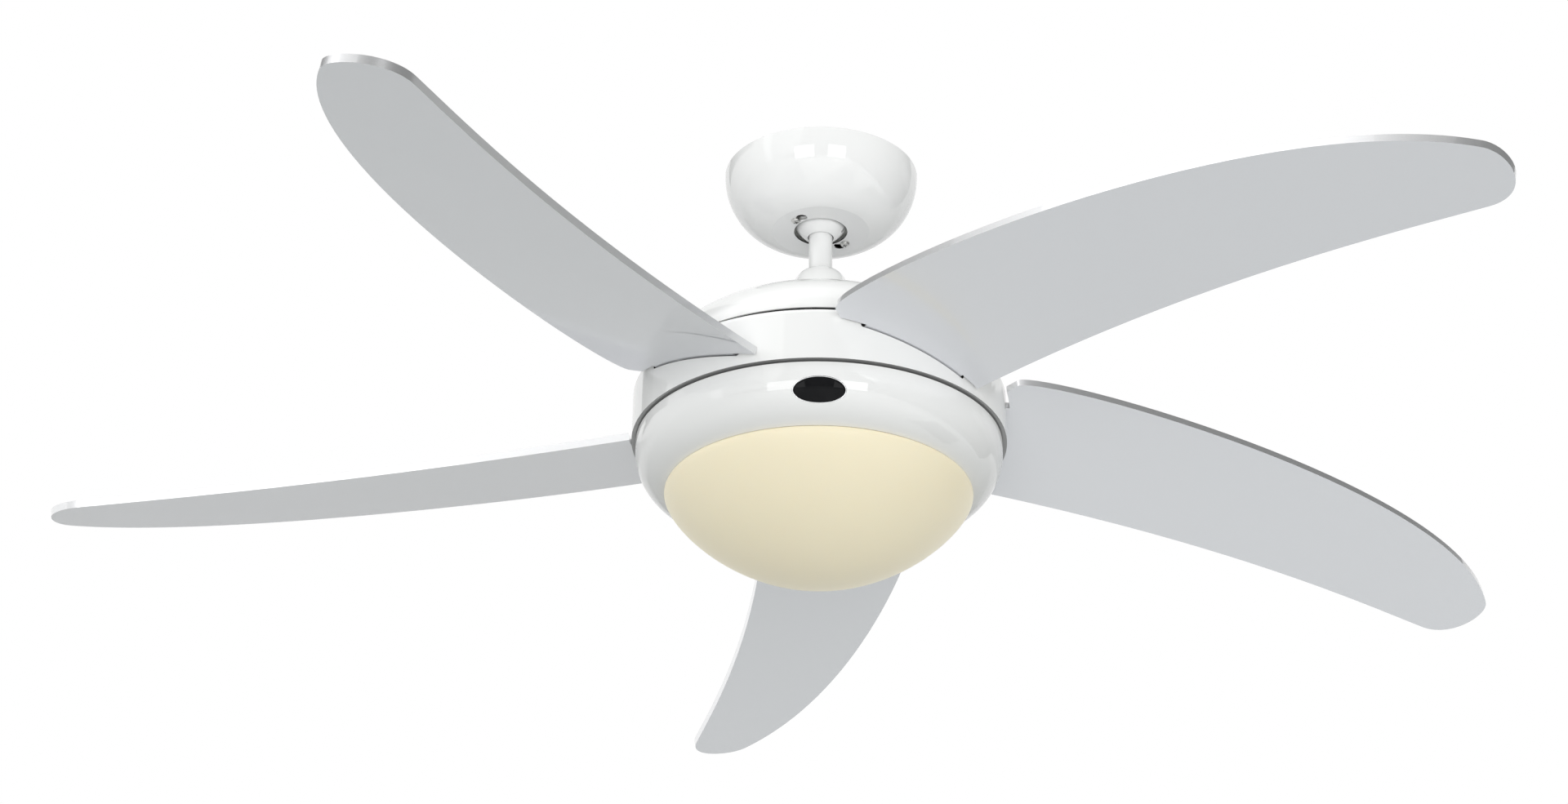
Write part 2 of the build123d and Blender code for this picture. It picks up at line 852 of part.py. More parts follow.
with BuildPart() as bearing_balls:
    for level in bearing_levels:
        with PolarLocations(ball_pitch_radius, bearing_ball_count):
            with Locations((0, 0, level)):
                Sphere(bearing_ball_radius)

bearing_balls.part.label = "bearing_balls"
export_step(bearing_balls.part, "parts/bearing_balls.step")

# ---- Rotor: a steel ring between two bells ----

bell_inner = bell_radius - bell_wall
hub_radius = bearing_radius + bell_hub_wall
bell_screw_circle = bell_radius + bell_boss_stand
bell_screw_angle = first_blade_angle + 180 / blade_count
cooling_angle = first_blade_angle + 90 / blade_count

with BuildPart() as rotor_ring:
    with BuildSketch(Plane.XY.offset(motor_middle - stack_height / 2)):
        Circle(bell_inner)
        Circle(stator_radius + air_gap, mode=Mode.SUBTRACT)
    extrude(amount=stack_height)

rotor_ring.part.label = "rotor_ring"
export_step(rotor_ring.part, "parts/rotor_ring.step")


def motor_bell(end, inward):
    """A bell with its closed end at a level, opening inward (+1 up, -1 down) to the motor's middle."""
    with BuildPart(mode=Mode.PRIVATE) as bell:
        with BuildSketch(Plane.XZ):
            with BuildLine():
                Polyline(
                    (bell_opening_radius, end),
                    (bell_radius, end),
                    (bell_radius, motor_middle),
                    (bell_inner, motor_middle),
                    (bell_inner, end + inward * bell_wall),
                    (hub_radius, end + inward * bell_wall),
                    (hub_radius, end + inward * (bell_floor + bearing_width)),
                    (bearing_radius, end + inward * (bell_floor + bearing_width)),
                    (bearing_radius, end + inward * bell_floor),
                    (bell_opening_radius, end + inward * bell_floor),
                    close=True,
                )
            make_face()
        revolve(axis=Axis.Z)
        with BuildSketch(Plane.XY.offset(motor_middle)):
            with PolarLocations(bell_screw_circle, blade_count, start_angle=bell_screw_angle):
                Circle(bell_boss_radius)
            Circle(bell_radius - bell_wall / 2, mode=Mode.SUBTRACT)
        extrude(amount=end - motor_middle)
        with BuildSketch(Plane.XY.offset(motor_middle)):
            with PolarLocations(bell_screw_circle, blade_count, start_angle=bell_screw_angle):
                Circle(small_hole_radius)
        extrude(amount=end - motor_middle, mode=Mode.SUBTRACT)
        # Cooling slots through the closed end
        with BuildSketch(Plane.XY.offset(end)):
            with PolarLocations(cooling_circle, 2 * blade_count, start_angle=cooling_angle):
                SlotOverall(cooling_length, cooling_width)
        extrude(amount=inward * bell_wall, mode=Mode.SUBTRACT)
    return bell.part


with BuildPart() as lower_bell:
    add(motor_bell(motor_bottom, 1))
    with BuildSketch(Plane.XY.offset(motor_bottom)):
        for angle in blade_angles:
            for side in (-holder_screw_side, holder_screw_side):
                place = blade_plane(angle, 0).from_local_coords((holder_screw_distance, side, 0))
                with Locations((place.X, place.Y)):
                    Circle(small_hole_radius)
    extrude(amount=bell_wall, mode=Mode.SUBTRACT)

lower_bell.part.label = "lower_bell"
export_step(lower_bell.part, "parts/lower_bell.step")

with BuildPart() as upper_bell:
    add(motor_bell(motor_top, -1))

upper_bell.part.label = "upper_bell"
export_step(upper_bell.part, "parts/upper_bell.step")

with BuildPart() as bell_screws:
    for index in range(blade_count):
        x, y = polar(bell_screw_circle, bell_screw_angle + index * 360 / blade_count)
        add(small_screw(facing_up(x, y, motor_top), motor_height))

bell_screws.part.label = "bell_screws"
export_step(bell_screws.part, "parts/bell_screws.step")

# ---- Rotating shell: the ring that the blades pass through ----

shell_slot_width = tongue_low + tongue_high + 2 * slot_end_gap
shell_slot_height = blade_thickness + slot_gap_above + slot_gap_below
shell_slot_middle = ((tongue_low - tongue_high) / 2, (blade_thickness + slot_gap_above - slot_gap_below) / 2)

with BuildPart() as rotor_shell:
    with BuildSketch(Plane.XZ):
        with BuildLine():
            Polyline(
                (shell_inner_radius, shell_top),
                (shell_radius, shell_top),
                (shell_radius, shell_bottom),
                (shell_radius - shell_lip_width, shell_bottom),
                (shell_radius - shell_lip_width, shell_bottom + shell_wall),
                (shell_radius - shell_wall, shell_bottom + shell_wall),
                (shell_radius - shell_wall, shell_top - shell_wall),
                (shell_inner_radius, shell_top - shell_wall),
                close=True,
            )
        profile = make_face()
        corner = profile.vertices().group_by(Axis.X)[-1].sort_by(Axis.Y)
        inside = profile.vertices().group_by(Axis.X)[-2].sort_by(Axis.Y)
        fillet(corner[-1], radius=shell_shoulder)
        fillet(inside[-1], radius=shell_shoulder - shell_wall)
        fillet(corner[0], radius=shell_lip)
        fillet(inside[0], radius=shell_lip - shell_wall)
    revolve(axis=Axis.Z)
    for angle in blade_angles:
        with BuildSketch(section_plane(angle, tongue_start)):
            with Locations(shell_slot_middle):
                RectangleRounded(shell_slot_width, shell_slot_height, slot_corner)
        extrude(amount=shell_radius, mode=Mode.SUBTRACT)
    with BuildSketch(Plane.XY.offset(holder_top)):
        with PolarLocations(shell_boss_circle, blade_count, start_angle=first_blade_angle):
            Circle(shell_boss_radius)
            Circle(small_hole_radius, mode=Mode.SUBTRACT)
    extrude(amount=shell_top - shell_wall - holder_top)

rotor_shell.part.label = "rotor_shell"
export_step(rotor_shell.part, "parts/rotor_shell.step")

# ---- Blades: one outline, swept against the clock, placed on five pitched planes ----

blade_inside = shell_radius - root_sink
high_root = Vector(blade_inside, -high_root_side)
high_lead = Vector(shell_radius + high_lead_out, -high_lead_side)
high_pull = Vector(blade_length - high_pull_in, high_pull_side)
high_tip = Vector(blade_length, blade_sweep)
tip_pull = Vector(blade_length - tip_pull_in, blade_sweep + tip_pull_side)
low_tip = Vector(blade_length - low_tip_in, blade_sweep + low_tip_side)
low_pull = Vector(shell_radius + low_pull_out, low_pull_side)
low_root = Vector(blade_inside, low_root_side)

tip_lead = high_tip + (high_tip - high_pull).normalized() * tip_turn
low_lead = low_tip + (low_tip - tip_pull).normalized() * low_turn
high_back = high_root + (high_root - high_lead)
low_back = low_root + (low_root - low_pull).normalized() * low_back_length

blade_screw_length = blade_thickness + holder_thickness
holder_screw_places = [(holder_screw_distance, side) for side in (-holder_screw_side, holder_screw_side)]
blade_screw_inset = 3.0
blade_screw_row = 11.0
blade_screw_spread = 28.0
blade_screw_places = (
    (tongue_start + blade_screw_inset, holder_offset - blade_screw_spread),
    (tongue_start + blade_screw_inset, holder_offset + blade_screw_spread),
    (tongue_start + blade_screw_inset + blade_screw_row, holder_offset),
)

with BuildSketch() as blade_outline:
    with BuildLine():
        Line(high_back, high_root)
        Bezier(high_root, high_lead, high_pull, high_tip)
        Bezier(high_tip, tip_lead, tip_pull, low_tip)
        Bezier(low_tip, low_lead, low_pull, low_root)
        Line(low_root, low_back)
        Line(low_back, high_back)
    make_face()
    Circle(root_radius, mode=Mode.SUBTRACT)
    with Locations(((tongue_start + root_radius) / 2, (tongue_low - tongue_high) / 2)):
        Rectangle(root_radius - tongue_start, tongue_low + tongue_high)
    fillet(blade_outline.vertices().group_by(Axis.X)[0], radius=tongue_corner)
    with Locations(*blade_screw_places):
        Circle(blade_hole_radius, mode=Mode.SUBTRACT)

for number, angle in enumerate(blade_angles, start=1):
    with BuildPart() as blade:
        with BuildSketch(blade_plane(angle)):
            add(blade_outline.sketch)
        extrude(amount=blade_thickness)

    blade.part.label = f"blade_{number}"
    export_step(blade.part, f"parts/blade_{number}.step")

# ---- Blade holders: flat under the motor, twisted to the blades' pitch further out ----

for number, angle in enumerate(blade_angles, start=1):
    with BuildPart() as blade_holder:
        for distance, width, shift, pitch in (
            (holder_start, holder_inner_width, 0, 0),
            (holder_bend_start, holder_inner_width, 0, 0),
            (holder_bend_end, holder_outer_width, holder_offset, blade_pitch),
            (holder_end, holder_outer_width, holder_offset, blade_pitch),
        ):
            with BuildSketch(section_plane(angle, distance, pitch)):
                with Locations((shift, blade_thickness + holder_thickness / 2)):
                    Rectangle(width, holder_thickness)
        loft(ruled=True)
        with BuildSketch(blade_plane(angle)):
            with Locations(*blade_screw_places):
                Circle(blade_screw_radius)
        extrude(amount=blade_thickness + holder_thickness, mode=Mode.SUBTRACT)
        with BuildSketch(blade_plane(angle, 0)):
            with Locations(*holder_screw_places, (shell_boss_circle, 0)):
                Circle(small_hole_radius)
        extrude(amount=blade_thickness + holder_thickness, mode=Mode.SUBTRACT)

    blade_holder.part.label = f"blade_holder_{number}"
    export_step(blade_holder.part, f"parts/blade_holder_{number}.step")


def under(plane, place, height):
    """Plane at a place on a blade or holder plane, raised by a height and facing down its normal."""
    return Plane(origin=plane.from_local_coords((*place, height)), x_dir=plane.x_dir, z_dir=-plane.z_dir)


with BuildPart() as blade_screws:
    for angle in blade_angles:
        for place in blade_screw_places:
            seat = under(blade_plane(angle), place, 0)
            add(screw(seat, blade_head_radius, blade_head_height, blade_screw_radius, blade_screw_length))

blade_screws.part.label = "blade_screws"
export_step(blade_screws.part, "parts/blade_screws.step")

with BuildPart() as holder_screws:
    for angle in blade_angles:
        for side in (-holder_screw_side, holder_screw_side):
            seat = under(blade_plane(angle, 0), (holder_screw_distance, side), blade_thickness)
            add(small_screw(seat, holder_thickness + bell_wall))

holder_screws.part.label = "holder_screws"
export_step(holder_screws.part, "parts/holder_screws.step")

with BuildPart() as shell_screws:
    for angle in blade_angles:
        seat = under(blade_plane(angle, 0), (shell_boss_circle, 0), blade_thickness)
        add(small_screw(seat, shell_screw_length))

shell_screws.part.label = "shell_screws"
export_step(shell_screws.part, "parts/shell_screws.step")

# ---- Light plate and the nuts that clamp it to the shaft ----

housing_screw_inset = 4.0
housing_screw_circle = plate_radius - housing_screw_inset
dimple_angles = (90, 210, 330)
housing_screw_angles = (30, 150, 270)

with BuildPart() as light_plate:
    with BuildSketch(Plane.XY.offset(plate_bottom)):
        Circle(plate_radius)
        Circle(shaft_radius, mode=Mode.SUBTRACT)
        for angle in housing_screw_angles:
            with Locations(polar(housing_screw_circle, angle)):
                Circle(small_hole_radius, mode=Mode.SUBTRACT)
        with Locations((-strap_screw_place, 0), (strap_screw_place, 0)):
            Circle(small_hole_radius, mode=Mode.SUBTRACT)
        with PolarLocations(vent_circle, vent_count):
            SlotOverall(vent_length, vent_width, rotation=90, mode=Mode.SUBTRACT)
    extrude(amount=plate_thickness)

light_plate.part.label = "light_plate"
export_step(light_plate.part, "parts/light_plate.step")

with BuildPart() as shaft_nuts:
    for level in (plate_top, plate_bottom - nut_height):
        with BuildSketch(Plane.XY.offset(level)):
            RegularPolygon(nut_radius, 6)
            Circle(shaft_radius, mode=Mode.SUBTRACT)
        extrude(amount=nut_height)

shaft_nuts.part.label = "shaft_nuts"
export_step(shaft_nuts.part, "parts/shaft_nuts.step")

# ---- Light housing: a deep spun ring that turns in under itself to the glass ----

housing_straight_end = housing_top - housing_straight

inset = housing_radius - housing_opening_radius
drop = housing_straight_end - housing_bottom
bend_radius = (inset**2 + drop**2) / (2 * inset)
bend_turn = degrees(atan2(drop, bend_radius - inset))
bend_centre = housing_radius - bend_radius

with BuildPart() as light_housing:
    with BuildSketch(Plane.XZ):
        with BuildLine():
            outer = CenterArc((bend_centre, housing_straight_end), bend_radius, 0, -bend_turn)
            inner = CenterArc((bend_centre, housing_straight_end), bend_radius - housing_wall, 0, -bend_turn)
            Line(outer @ 1, inner @ 1)
            Polyline(
                outer @ 0,
                (housing_radius, housing_top),
                (housing_radius - housing_flange_width, housing_top),
                (housing_radius - housing_flange_width, plate_top),
                (housing_radius - housing_wall, plate_top),
                inner @ 0,
            )
        make_face()
    revolve(axis=Axis.Z)
    with BuildSketch(Plane.XY.offset(housing_bottom + neck_start)):
        Circle(housing_opening_radius + housing_wall)
        Circle(housing_opening_radius, mode=Mode.SUBTRACT)
    extrude(amount=neck_height)
    with BuildSketch(Plane.XY.offset(plate_top)):
        for angle in housing_screw_angles:
            with Locations(polar(housing_screw_circle, angle)):
                Circle(small_hole_radius)
    extrude(amount=housing_wall, mode=Mode.SUBTRACT)
    for angle in dimple_angles:
        x, y = polar(housing_opening_radius + dimple_root, angle)
        with BuildSketch(Plane(origin=(x, y, dimple_level), z_dir=(*polar(-1, angle), 0))):
            Circle(dimple_radius)
        extrude(amount=dimple_reach + dimple_root)

light_housing.part.label = "light_housing"
export_step(light_housing.part, "parts/light_housing.step")

with BuildPart() as housing_screws:
    for angle in housing_screw_angles:
        x, y = polar(housing_screw_circle, angle)
        add(small_screw(facing_down(x, y, plate_bottom), plate_thickness + housing_wall))

housing_screws.part.label = "housing_screws"
export_step(housing_screws.part, "parts/housing_screws.step")

# ---- Glass bowl: a shallow bowl with a neck, and a flange with three flats that locks above the dimples ----

glass_top = housing_bottom - glass_gap
glass_bottom = glass_top - glass_depth
flange_bottom = dimple_level + dimple_radius + flange_gap
flange_top = flange_bottom + glass_flange_thickness
bowl_bottom_pull = glass_radius - glass_bottom_pull
bowl_side_pull = (glass_radius + glass_bulge, glass_top - glass_side_pull)
neck_inside = glass_neck_radius - glass_wall
shoulder_drop = 2.0
shoulder_reach = 9.0

with BuildPart() as glass_bowl:
    with BuildSketch(Plane.XZ):
        with BuildLine():
            Bezier(
                (0, glass_bottom),
                (bowl_bottom_pull, glass_bottom),
                bowl_side_pull,
                (glass_radius, glass_top),
            )
            Polyline(
                (glass_radius, glass_top),
                (glass_neck_radius, glass_top),
                (glass_neck_radius, flange_bottom),
                (glass_flange_radius, flange_bottom),
                (glass_flange_radius, flange_top),
                (neck_inside, flange_top),
                (neck_inside, glass_top - shoulder_drop),
            )
            Bezier(
                (neck_inside, glass_top - shoulder_drop),
                (neck_inside + shoulder_reach, glass_top - shoulder_reach),
                (bowl_bottom_pull, glass_bottom + glass_wall),
                (0, glass_bottom + glass_wall),
            )
            Line((0, glass_bottom + glass_wall), (0, glass_bottom))
        make_face()
    revolve(axis=Axis.Z)
    for angle in dimple_angles:
        flat_angle = angle - lock_turn
        with BuildSketch(radial_plane(flat_angle).offset(glass_flat_width / 2)):
            with Locations((glass_flat_distance, flange_bottom)):
                Rectangle(glass_wall * 2, glass_flange_thickness, align=(Align.MIN, Align.MIN))
        extrude(amount=-glass_flat_width, mode=Mode.SUBTRACT)

glass_bowl.part.label = "glass_bowl"
export_step(glass_bowl.part, "parts/glass_bowl.step")

# ---- Lamp strap, sockets and bulbs ----

strap_bottom = lamp_level - lamp_socket_radius - strap_margin
strap_inner = lamp_strap_half_width - lamp_strap_sheet
strap_foot_end = lamp_strap_half_width + lamp_strap_foot

with BuildPart() as lamp_strap:
    with BuildSketch(Plane.XZ):
        with BuildLine():
            Polyline(
                (0, strap_bottom),
                (lamp_strap_half_width, strap_bottom),
                (lamp_strap_half_width, plate_bottom - lamp_strap_sheet),
                (strap_foot_end, plate_bottom - lamp_strap_sheet),
                (strap_foot_end, plate_bottom),
                (strap_inner, plate_bottom),
                (strap_inner, strap_bottom + lamp_strap_sheet),
                (0, strap_bottom + lamp_strap_sheet),
                close=True,
            )
        make_face()
        mirror(about=Plane.YZ)
    extrude(amount=lamp_strap_width / 2, both=True)
    with BuildSketch(Plane.XY.offset(plate_bottom)):
        with Locations((-strap_screw_place, 0), (strap_screw_place, 0)):
            Circle(small_hole_radius)
    extrude(amount=-lamp_strap_sheet, mode=Mode.SUBTRACT)

lamp_strap.part.label = "lamp_strap"
export_step(lamp_strap.part, "parts/lamp_strap.step")

with BuildPart() as strap_screws:
    for side in (-1, 1):
        seat = facing_down(side * strap_screw_place, 0, plate_bottom - lamp_strap_sheet)
        add(small_screw(seat, lamp_strap_sheet + plate_thickness))

strap_screws.part.label = "strap_screws"
export_step(strap_screws.part, "parts/strap_screws.step")

for name, side in (("left", -1), ("right", 1)):
    socket_start = lamp_strap_half_width
    socket_end = socket_start + lamp_socket_length
    cap_start = socket_start + socket_floor + cap_seat
    bulb_centre = socket_end + bulb_length - bulb_radius
    axis_plane = Plane(origin=(side * socket_start, 0, lamp_level), x_dir=(0, side, 0), z_dir=(side, 0, 0))

    with BuildPart() as lamp_socket:
        with BuildSketch(axis_plane):
            Circle(lamp_socket_radius)
        extrude(amount=lamp_socket_length)
        back_face = lamp_socket.faces().sort_by(Axis(axis_plane.origin, axis_plane.z_dir))[0]
        fillet(back_face.edges(), radius=socket_corner)
        with BuildSketch(axis_plane.offset(socket_floor)):
            Circle(bulb_cap_radius + cap_play)
        extrude(amount=lamp_socket_length, mode=Mode.SUBTRACT)

    lamp_socket.part.label = f"lamp_socket_{name}"
    export_step(lamp_socket.part, f"parts/lamp_socket_{name}.step")

    with BuildPart() as bulb:
        with BuildSketch(Plane.XZ):
            with BuildLine():
                cap = Polyline(
                    (cap_start, 0),
                    (cap_start, bulb_contact_radius),
                    (cap_start + cap_taper, bulb_cap_radius),
                    (socket_end, bulb_cap_radius),
                )
                globe = CenterArc((bulb_centre, 0), bulb_radius, 180 - bulb_neck_angle, bulb_neck_angle - 180)
                Line(cap @ 1, globe @ 0)
                Line(globe @ 1, cap @ 0)
            make_face()
        revolve(axis=Axis.X)

    shape = bulb.part.moved(Location((0, 0, lamp_level)))
    if side < 0:
        shape = bulb.part.mirror(Plane.YZ).moved(Location((0, 0, lamp_level)))
    shape.label = f"bulb_{name}"
    export_step(shape, f"parts/bulb_{name}.step")

# ---- Run capacitor under the light plate ----

with BuildPart() as capacitor:
    with BuildSketch(Plane.XY.offset(plate_bottom)):
        with Locations((0, capacitor_place)):
            RectangleRounded(capacitor_length, capacitor_width, capacitor_corner)
    extrude(amount=-capacitor_height)

capacitor.part.label = "capacitor"
export_step(capacitor.part, "parts/capacitor.step")
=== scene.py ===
import bpy
import bmesh
import json
from math import cos, pi, radians, sin
from mathutils import Matrix, Vector


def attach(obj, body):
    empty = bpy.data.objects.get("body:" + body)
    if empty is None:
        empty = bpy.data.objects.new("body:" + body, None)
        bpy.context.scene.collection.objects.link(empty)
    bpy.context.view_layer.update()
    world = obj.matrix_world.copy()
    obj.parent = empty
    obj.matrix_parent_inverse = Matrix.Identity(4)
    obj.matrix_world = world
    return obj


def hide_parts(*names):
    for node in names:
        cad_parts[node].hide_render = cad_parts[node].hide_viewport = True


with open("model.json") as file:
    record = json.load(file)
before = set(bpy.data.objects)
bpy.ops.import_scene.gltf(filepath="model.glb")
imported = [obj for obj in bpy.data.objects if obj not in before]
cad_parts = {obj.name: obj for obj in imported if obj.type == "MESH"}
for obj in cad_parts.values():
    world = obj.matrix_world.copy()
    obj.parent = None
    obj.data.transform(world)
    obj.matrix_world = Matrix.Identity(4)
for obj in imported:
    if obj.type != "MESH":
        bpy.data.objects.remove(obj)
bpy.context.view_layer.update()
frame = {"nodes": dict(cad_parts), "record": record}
nodes = frame["nodes"]
scene = bpy.context.scene
print("frame loaded:", len(nodes), "nodes")


def newMaterial(name):
    material = bpy.data.materials.new(name)
    material.use_nodes = True
    tree = material.node_tree
    return material, tree, tree.nodes["Principled BSDF"]


def objectNoise(tree, scale, detail=2.0, roughness=0.5, stretch=(1.0, 1.0, 1.0)):
    place = tree.nodes.new("ShaderNodeTexCoord")
    mapping = tree.nodes.new("ShaderNodeMapping")
    mapping.inputs["Scale"].default_value = stretch
    noise = tree.nodes.new("ShaderNodeTexNoise")
    noise.inputs["Scale"].default_value = scale
    noise.inputs["Detail"].default_value = detail
    noise.inputs["Roughness"].default_value = roughness
    tree.links.new(place.outputs["Object"], mapping.inputs["Vector"])
    tree.links.new(mapping.outputs["Vector"], noise.inputs["Vector"])
    return noise.outputs["Fac"]


def between(tree, value, low, high, fromLow=0.3, fromHigh=0.7):
    node = tree.nodes.new("ShaderNodeMapRange")
    node.inputs["From Min"].default_value = fromLow
    node.inputs["From Max"].default_value = fromHigh
    node.inputs["To Min"].default_value = low
    node.inputs["To Max"].default_value = high
    tree.links.new(value, node.inputs["Value"])
    return node.outputs["Result"]


def twoColours(tree, value, first, second, start=0.3, end=0.7):
    ramp = tree.nodes.new("ShaderNodeValToRGB")
    ramp.color_ramp.elements[0].position = start
    ramp.color_ramp.elements[0].color = (*first, 1.0)
    ramp.color_ramp.elements[1].position = end
    ramp.color_ramp.elements[1].color = (*second, 1.0)
    tree.links.new(value, ramp.inputs["Fac"])
    return ramp.outputs["Color"]


def relief(tree, shader, height, depth):
    bump = tree.nodes.new("ShaderNodeBump")
    bump.inputs["Strength"].default_value = 1.0
    bump.inputs["Distance"].default_value = depth
    tree.links.new(height, bump.inputs["Height"])
    tree.links.new(bump.outputs["Normal"], shader.inputs["Normal"])


def clearCoat(shader, facts):
    # All of the shine comes from the coat, and none from the paint under it
    shader.inputs["Coat Weight"].default_value = facts["coat"]
    shader.inputs["Coat Roughness"].default_value = facts["coatGloss"]
    shader.inputs["Coat IOR"].default_value = facts["coatIor"]
    shader.inputs["Specular IOR Level"].default_value = 0.0


def enamelFinish(facts):
    material, tree, shader = newMaterial(facts["name"])
    clouds = objectNoise(tree, facts["cloudScale"], 3.0)
    paint = twoColours(tree, clouds, facts["shade"], facts["colour"])
    if "hollowShade" in facts:
        paint = paintedShadeInside(tree, facts, paint)
    tree.links.new(paint, shader.inputs["Base Color"])
    tree.links.new(between(tree, clouds, *facts["gloss"]), shader.inputs["Roughness"])
    relief(tree, shader, objectNoise(tree, facts["peelScale"], 2.0), facts["peelDepth"])
    clearCoat(shader, facts)
    return material


def paintedShadeInside(tree, facts, paint):
    # Faces that look toward the fan's axis, or into a joint, are painted dark in place of enamel: painted
    # shade for the hollows and the gaps between the pieces
    place = tree.nodes.new("ShaderNodeTexCoord")
    inward = tree.nodes.new("ShaderNodeVectorMath")
    inward.operation = "MULTIPLY"
    inward.inputs[1].default_value = (1.0, 1.0, 0.0)
    tree.links.new(place.outputs["Object"], inward.inputs[0])
    radial = tree.nodes.new("ShaderNodeVectorMath")
    radial.operation = "NORMALIZE"
    tree.links.new(inward.outputs["Vector"], radial.inputs[0])
    facing = tree.nodes.new("ShaderNodeVectorMath")
    facing.operation = "DOT_PRODUCT"
    tree.links.new(radial.outputs["Vector"], facing.inputs[0])
    tree.links.new(place.outputs["Normal"], facing.inputs[1])
    hollowShadeMask = between(tree, facing.outputs["Value"], 1.0, 0.0, *facts["inward"])
    hidden = tree.nodes.new("ShaderNodeVectorMath")
    hidden.operation = "DOT_PRODUCT"
    hidden.inputs[1].default_value = (0.0, 0.0, facts["joint"])
    tree.links.new(place.outputs["Normal"], hidden.inputs[0])
    joint = between(tree, hidden.outputs["Value"], 0.0, 1.0, *facts["flat"])
    # Painted shade: the joint faces, then the inward faces, take their dark colour over the enamel
    for share, colour in ((joint, facts["jointShade"]), (hollowShadeMask, facts["hollowShade"])):
        mix = tree.nodes.new("ShaderNodeMix")
        mix.data_type = "RGBA"
        mix.inputs["B"].default_value = (*colour, 1.0)
        tree.links.new(share, mix.inputs["Factor"])
        tree.links.new(paint, mix.inputs["A"])
        paint = mix.outputs["Result"]
    return paint


def lacquerFinish(facts):
    # Silver lacquer, thin and even on the broad faces, thicker and more metallic round the cut edges
    material, tree, shader = newMaterial(facts["name"])
    flakes = objectNoise(tree, facts["flakeScale"], 2.0, 0.7)
    clouds = objectNoise(tree, facts["cloudScale"], 3.0)
    place = tree.nodes.new("ShaderNodeTexCoord")
    split = tree.nodes.new("ShaderNodeSeparateXYZ")
    tree.links.new(place.outputs["Normal"], split.inputs["Vector"])
    upright = tree.nodes.new("ShaderNodeMath")
    upright.operation = "ABSOLUTE"
    tree.links.new(split.outputs["Z"], upright.inputs[0])
    flat = between(tree, upright.outputs["Value"], 0.0, 1.0, *facts["faceFrom"])
    face = twoColours(tree, flakes, facts["dark"], facts["light"], *facts["flakeSpread"])
    edge = twoColours(tree, flakes, facts["edgeDark"], facts["edgeLight"], *facts["flakeSpread"])
    colour = tree.nodes.new("ShaderNodeMix")
    colour.data_type = "RGBA"
    tree.links.new(flat, colour.inputs["Factor"])
    tree.links.new(edge, colour.inputs["A"])
    tree.links.new(face, colour.inputs["B"])
    tree.links.new(colour.outputs["Result"], shader.inputs["Base Color"])
    metal = between(tree, flat, facts["edgeMetal"], facts["metal"], 0.0, 1.0)
    tree.links.new(metal, shader.inputs["Metallic"])
    gloss = tree.nodes.new("ShaderNodeMix")
    gloss.inputs["A"].default_value = facts["edgeGloss"]
    tree.links.new(flat, gloss.inputs["Factor"])
    tree.links.new(between(tree, clouds, *facts["gloss"]), gloss.inputs["B"])
    tree.links.new(gloss.outputs["Result"], shader.inputs["Roughness"])
    clearCoat(shader, facts)
    return material


def opalFinish(facts):
    material, tree, shader = newMaterial(facts["name"])
    clouds = objectNoise(tree, facts["cloudScale"], 4.0)
    tree.links.new(twoColours(tree, clouds, facts["shade"], facts["colour"]), shader.inputs["Base Color"])
    tree.links.new(between(tree, clouds, *facts["gloss"]), shader.inputs["Roughness"])
    relief(tree, shader, objectNoise(tree, facts["etchScale"], 2.0), facts["etchDepth"])
    shader.inputs["Subsurface Weight"].default_value = facts["depth"]
    shader.inputs["Subsurface Radius"].default_value = facts["bleed"]
    shader.inputs["Subsurface Scale"].default_value = facts["bleedScale"]
    # Painted light: the glass gives off a faint warm glow of its own, which evens out its shading
    if "glow" in facts:
        shader.inputs["Emission Color"].default_value = (*facts["glow"], 1.0)
        shader.inputs["Emission Strength"].default_value = facts["glowLevel"]
    return material


def metalFinish(facts):
    material, tree, shader = newMaterial(facts["name"])
    grain = objectNoise(tree, facts["grainScale"], 3.0, 0.6, facts.get("stretch", (1.0, 1.0, 1.0)))
    tree.links.new(twoColours(tree, grain, facts["dark"], facts["light"]), shader.inputs["Base Color"])
    tree.links.new(between(tree, grain, *facts["gloss"]), shader.inputs["Roughness"])
    relief(tree, shader, grain, facts["grainDepth"])
    shader.inputs["Metallic"].default_value = facts.get("metal", 1.0)
    return material


